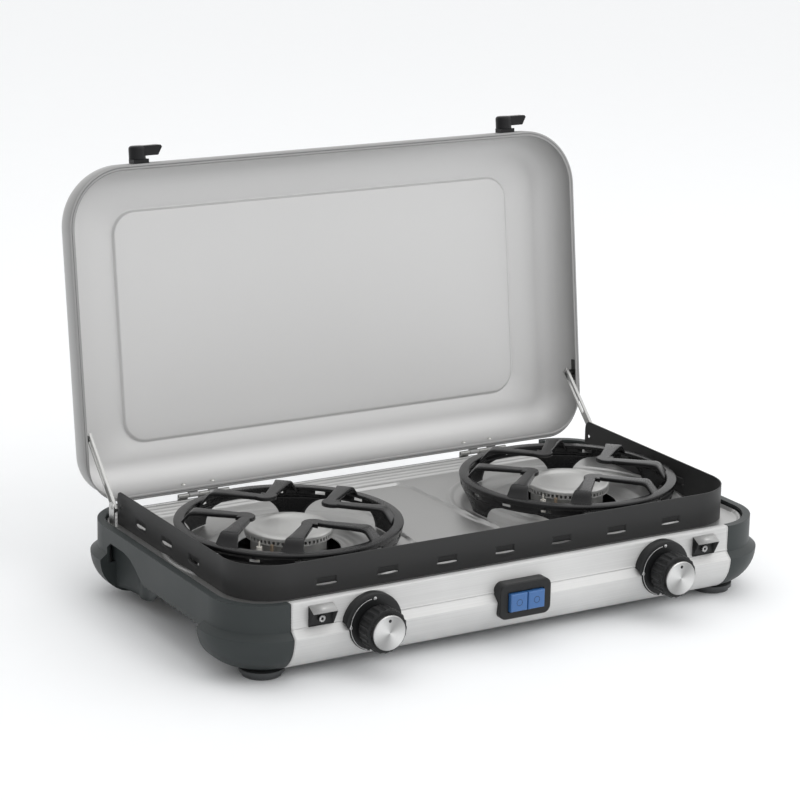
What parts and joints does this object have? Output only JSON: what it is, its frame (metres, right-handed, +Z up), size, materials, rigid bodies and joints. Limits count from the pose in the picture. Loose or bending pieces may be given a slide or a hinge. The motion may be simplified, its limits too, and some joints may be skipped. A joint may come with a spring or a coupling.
{
  "type": "camping stove",
  "caption": "Portable gas camping stove: round burners under pan supports, wind screen, turn knobs, spark buttons and a hinged lid with two front latches, drawn open.",
  "frame": {"origin": "on the ground, under the middle of the overall box of the open stove", "axes": "+X to the right of a person facing the knobs, +Y from the knobs back to the lid, +Z up"},
  "size_m": [0.603, 0.4394, 0.4212],
  "materials": {
    "tray_steel": "satin grey paint",
    "fascia_steel": "fine horizontal brushing",
    "deck_steel": "satin",
    "screw_steel": "zinc plated",
    "hinge_steel": "dull plated",
    "brass": "turned",
    "pipe_aluminium": "drawn tube",
    "trim_plastic": "semi gloss",
    "piezo_plastic": "moulded",
    "screen_paint": "satin charcoal paint",
    "cap_plastic": "fine moulded texture",
    "foot_rubber": "matt",
    "burner_aluminium": "cast",
    "cap_aluminium": "fine cast, pale",
    "white_ceramic": "glazed ceramic",
    "probe_steel": "heat tinted",
    "catch_steel": "folded sheet",
    "lid_steel": "satin silver",
    "latch_steel": "plated sheet",
    "stay_steel": "plated",
    "knob_plastic": "moulded",
    "disc_aluminium": "spun",
    "button_plastic": "blue",
    "support_enamel": "black vitreous enamel"
  },
  "bodies": {
    "base": {"base_tray": "tray_steel", "front_fascia": "fascia_steel", "hob_deck": "deck_steel", "case_screws": "screw_steel", "hinge_base_leaves": "hinge_steel", "hinge_pins": "screw_steel", "injectors": "brass", "gas_rail": "pipe_aluminium", "gas_inlet": "brass", "igniter_housing": "trim_plastic", "piezo_units": "piezo_plastic", "wind_screen": "screen_paint", "stay_rivets": "screw_steel", "left_end_cap": "cap_plastic", "left_front_foot": "foot_rubber", "left_rear_foot": "foot_rubber", "left_burner_pot": "burner_aluminium", "left_burner_cap": "cap_aluminium", "left_spark_electrode": "white_ceramic", "left_thermocouple": "probe_steel", "left_gas_tap": "brass", "left_knob_bezel": "trim_plastic", "left_lid_catch": "catch_steel", "left_stay_bracket": "hinge_steel", "right_end_cap": "cap_plastic", "right_front_foot": "foot_rubber", "right_rear_foot": "foot_rubber", "right_burner_pot": "burner_aluminium", "right_burner_cap": "cap_aluminium", "right_spark_electrode": "white_ceramic", "right_thermocouple": "probe_steel", "right_gas_tap": "brass", "right_knob_bezel": "trim_plastic", "right_lid_catch": "catch_steel", "right_stay_bracket": "hinge_steel"},
    "lid": {"lid_shell": "lid_steel", "hinge_lid_leaves": "hinge_steel", "lid_rivets": "screw_steel", "latch_plates": "latch_steel", "left_stud_bracket": "hinge_steel", "right_stud_bracket": "hinge_steel"},
    "left_stay": {"left_lid_stay": "stay_steel"},
    "left_latch": {"left_latch_lever": "latch_steel"},
    "left_tap_plug": {"left_tap_plug": "brass"},
    "left_knob": {"left_knob": "knob_plastic", "left_knob_disc": "disc_aluminium", "left_spindle": "screw_steel"},
    "left_button": {"left_igniter_button": "button_plastic"},
    "left_support": {"left_pan_support": "support_enamel"},
    "right_stay": {"right_lid_stay": "stay_steel"},
    "right_latch": {"right_latch_lever": "latch_steel"},
    "right_tap_plug": {"right_tap_plug": "brass"},
    "right_knob": {"right_knob": "knob_plastic", "right_knob_disc": "disc_aluminium", "right_spindle": "screw_steel"},
    "right_button": {"right_igniter_button": "button_plastic"},
    "right_support": {"right_pan_support": "support_enamel"}
  },
  "joints": [
    {"name": "lid_hinge", "type": "hinge", "parent": "base", "child": "lid", "pos_m": [0, 0.14098, 0.0763], "axis": [-1, 0, 0], "range_deg": [-97.1, 0]},
    {"name": "left_stay_swing", "type": "hinge", "parent": "base", "child": "left_stay", "pos_m": [-0.2788, 0.10318, 0.089], "axis": [-1, 0, 0], "range_deg": [-143.5, 0]},
    {"name": "left_latch_turn", "type": "hinge", "parent": "lid", "child": "left_latch", "pos_m": [-0.2105, 0.19083, 0.40365], "axis": [0, 0.1236, 0.9923], "range_deg": [-90, 0]},
    {"name": "left_knob_turn", "type": "hinge", "parent": "base", "child": "left_tap_plug", "pos_m": [-0.1596, -0.18362, 0.0464], "axis": [0, -1, 0], "range_deg": [0, 180]},
    {"name": "left_knob_push", "type": "slide", "parent": "left_tap_plug", "child": "left_knob", "axis": [0, 1, 0], "range_m": [0, 0.0035], "stiffness_N_per_m": 800},
    {"name": "left_button_press", "type": "slide", "parent": "base", "child": "left_button", "axis": [0, 1, 0], "range_m": [0, 0.004], "stiffness_N_per_m": 500},
    {"name": "left_support_lift", "type": "slide", "parent": "base", "child": "left_support", "axis": [0, 0, 1], "range_m": [0, 0.12]},
    {"name": "right_stay_swing", "type": "hinge", "parent": "base", "child": "right_stay", "pos_m": [0.2788, 0.10318, 0.089], "axis": [-1, 0, 0], "range_deg": [-143.5, 0]},
    {"name": "right_latch_turn", "type": "hinge", "parent": "lid", "child": "right_latch", "pos_m": [0.2105, 0.19083, 0.40365], "axis": [0, 0.1236, 0.9923], "range_deg": [-90, 0]},
    {"name": "right_knob_turn", "type": "hinge", "parent": "base", "child": "right_tap_plug", "pos_m": [0.1596, -0.18362, 0.0464], "axis": [0, -1, 0], "range_deg": [0, 180]},
    {"name": "right_knob_push", "type": "slide", "parent": "right_tap_plug", "child": "right_knob", "axis": [0, 1, 0], "range_m": [0, 0.0035], "stiffness_N_per_m": 800},
    {"name": "right_button_press", "type": "slide", "parent": "base", "child": "right_button", "axis": [0, 1, 0], "range_m": [0, 0.004], "stiffness_N_per_m": 500},
    {"name": "right_support_lift", "type": "slide", "parent": "base", "child": "right_support", "axis": [0, 0, 1], "range_m": [0, 0.12]}
  ],
  "couplings": [
    {"joint": "left_stay_swing", "follows": "lid_hinge", "ratio": 1.4719},
    {"joint": "right_stay_swing", "follows": "lid_hinge", "ratio": 1.4719}
  ]
}
